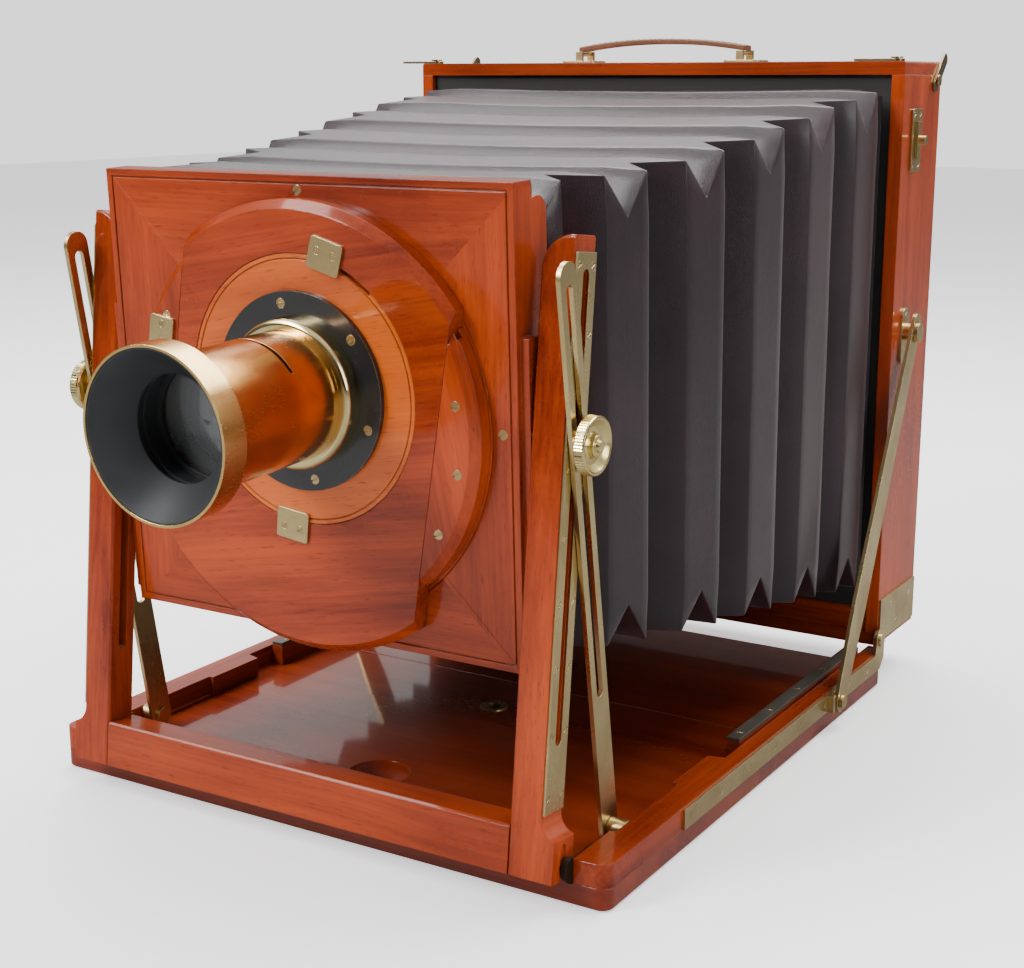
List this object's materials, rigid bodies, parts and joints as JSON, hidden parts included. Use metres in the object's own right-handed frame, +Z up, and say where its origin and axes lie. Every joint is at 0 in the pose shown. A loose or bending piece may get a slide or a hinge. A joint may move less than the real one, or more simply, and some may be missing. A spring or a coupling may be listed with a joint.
{
  "type": "folding wooden field camera",
  "caption": "Folding wooden field plate camera: leather bellows, swinging round lens board on a slotted front frame, brass lens, hinged back box with focusing screen.",
  "frame": {"origin": "axis of the round tripod hole at the underside of the baseboard", "axes": "+Z up, +Y from the lens towards the plate, +X to the right of someone facing the lens"},
  "size_m": [0.3968, 0.5846, 0.4296],
  "materials": {
    "mahogany": "French polished, reddish brown",
    "pale_mahogany": "French polished, lighter orange brown",
    "black_wood": "matte black",
    "brass": "lacquered, brushed, slightly aged",
    "brass_screws": "turned slotted heads",
    "lens_brass": "polished and lacquered",
    "black_metal": "black lacquer",
    "dark_cap": "oxidised dark metal",
    "bellows_leather": "soft dark aubergine leather",
    "strap_leather": "worn brown leather",
    "optical_glass": "clear polished",
    "ground_glass": "finely ground"
  },
  "bodies": {
    "base": {"base_board": "mahogany", "tripod_bush": "brass", "base_side_rails": "mahogany", "runners": "mahogany", "runner_caps": "dark_cap", "side_strips": "brass", "hinge_brackets": "brass", "base_screws": "brass_screws", "foot_hinges": "brass", "pivot_pins": "brass"},
    "front_frame": {"uprights": "mahogany", "front_bottom_rail": "mahogany", "upright_plates": "brass", "upright_screws": "brass_screws"},
    "front_struts": {"front_struts": "brass"},
    "studs": {"clamp_studs": "brass"},
    "lens_panel": {"panel_frame": "mahogany", "panel_screws": "brass_screws", "bellows_front_frame": "black_wood"},
    "turntable": {"turntable": "mahogany", "turntable_retainer": "mahogany", "cheeks": "mahogany", "cheek_plate": "brass", "turntable_screws": "brass_screws"},
    "sliding_board": {"sliding_board": "mahogany", "keeper_plates": "brass", "keeper_screws": "brass_screws"},
    "lens": {"lens_disc": "pale_mahogany", "lens_flange": "black_metal", "flange_screws": "brass_screws", "lens_barrel": "lens_brass", "lens_collar": "lens_brass", "lens_hood": "lens_brass", "lens_baffles": "black_metal", "lens_glasses": "optical_glass"},
    "left_knob": {"left_clamp_knob": "brass"},
    "right_knob": {"right_clamp_knob": "brass"},
    "back_box": {"box_bottom_board": "mahogany", "box_top_board": "mahogany", "box_sides": "mahogany", "bellows_rear_frame": "black_wood", "box_ledge": "mahogany", "box_side_plates": "brass", "box_screws": "brass_screws", "stay_clamps": "brass", "handle_plates": "brass", "handle_strap": "strap_leather", "bellows": "bellows_leather", "screen_hinge_leaves": "brass"},
    "back_stays": {"back_stays": "brass"},
    "left_front_catch": {"left_front_catch": "brass"},
    "right_front_catch": {"right_front_catch": "brass"},
    "left_back_catch": {"left_back_catch": "brass"},
    "right_back_catch": {"right_back_catch": "brass"},
    "left_side_bolt": {"left_side_bolt": "brass"},
    "right_side_bolt": {"right_side_bolt": "brass"},
    "focusing_back": {"screen_frame": "mahogany", "ground_glass": "ground_glass", "glass_clips": "brass", "screen_hinge_tongues": "brass"}
  },
  "joints": [
    {"name": "front_lean", "type": "hinge", "parent": "base", "child": "front_frame", "pos_m": [0, -0.067, 0.02], "axis": [-1, 0, 0], "range_deg": [-6, 8], "deforming": ["bellows"]},
    {"name": "front_strut_swing", "type": "hinge", "parent": "base", "child": "front_struts", "pos_m": [0, -0.012, 0.0204], "axis": [-1, 0, 0], "range_deg": [-6, 8]},
    {"name": "panel_rise", "type": "slide", "parent": "front_frame", "child": "studs", "axis": [0, 0.1045, 0.9945], "range_m": [-0.02, 0.02], "deforming": ["bellows"]},
    {"name": "panel_swing", "type": "hinge", "parent": "studs", "child": "lens_panel", "pos_m": [0, -0.04727, 0.2316], "axis": [-1, 0, 0], "range_deg": [-8, 8], "deforming": ["bellows"]},
    {"name": "turntable_turn", "type": "hinge", "parent": "lens_panel", "child": "turntable", "pos_m": [0.0035, -0.04732, 0.2326], "axis": [0, -0.999, -0.0436], "range_deg": [-80, 100]},
    {"name": "board_slide", "type": "slide", "parent": "turntable", "child": "sliding_board", "axis": [0.1736, -0.043, 0.9839], "range_m": [-0.008, 0.025]},
    {"name": "lens_turn", "type": "hinge", "parent": "sliding_board", "child": "lens", "pos_m": [0.00619, -0.04798, 0.24785], "axis": [0, -0.999, -0.0436], "range_deg": [0, 61]},
    {"name": "left_knob_turn", "type": "hinge", "parent": "studs", "child": "left_knob", "pos_m": [0, -0.04727, 0.2316], "axis": [-1, 0, 0], "continuous": true},
    {"name": "right_knob_turn", "type": "hinge", "parent": "studs", "child": "right_knob", "pos_m": [0, -0.04727, 0.2316], "axis": [1, 0, 0], "continuous": true},
    {"name": "back_tilt", "type": "hinge", "parent": "base", "child": "back_box", "pos_m": [0, 0.322, 0.033], "axis": [-1, 0, 0], "range_deg": [-2, 3], "deforming": ["bellows"]},
    {"name": "back_stay_swing", "type": "hinge", "parent": "base", "child": "back_stays", "pos_m": [0, 0.235, 0.018], "axis": [-1, 0, 0], "range_deg": [-2, 3]},
    {"name": "screen_drop", "type": "hinge", "parent": "back_box", "child": "focusing_back", "pos_m": [0, 0.3979, 0.0365], "axis": [-1, 0, 0], "range_deg": [0, 90]},
    {"name": "left_front_catch_turn", "type": "hinge", "parent": "back_box", "child": "left_front_catch", "pos_m": [-0.175, 0.3295, 0.4136], "axis": [0, 0, 1], "range_deg": [0, 180]},
    {"name": "right_front_catch_turn", "type": "hinge", "parent": "back_box", "child": "right_front_catch", "pos_m": [0.175, 0.3295, 0.4136], "axis": [0, 0, 1], "range_deg": [0, 180]},
    {"name": "left_back_catch_turn", "type": "hinge", "parent": "back_box", "child": "left_back_catch", "pos_m": [-0.183, 0.385, 0.4016], "axis": [-1, 0, 0], "range_deg": [-45, 90]},
    {"name": "right_back_catch_turn", "type": "hinge", "parent": "back_box", "child": "right_back_catch", "pos_m": [0.183, 0.385, 0.4016], "axis": [-1, 0, 0], "range_deg": [-45, 90]},
    {"name": "left_bolt_slide", "type": "slide", "parent": "back_box", "child": "left_side_bolt", "axis": [0, 0, 1], "range_m": [-0.006, 0.006]},
    {"name": "right_bolt_slide", "type": "slide", "parent": "back_box", "child": "right_side_bolt", "axis": [0, 0, 1], "range_m": [-0.006, 0.006]}
  ],
  "couplings": [
    {"joint": "front_strut_swing", "follows": "front_lean", "ratio": 0.964},
    {"joint": "back_stay_swing", "follows": "back_tilt", "ratio": 0.788}
  ]
}
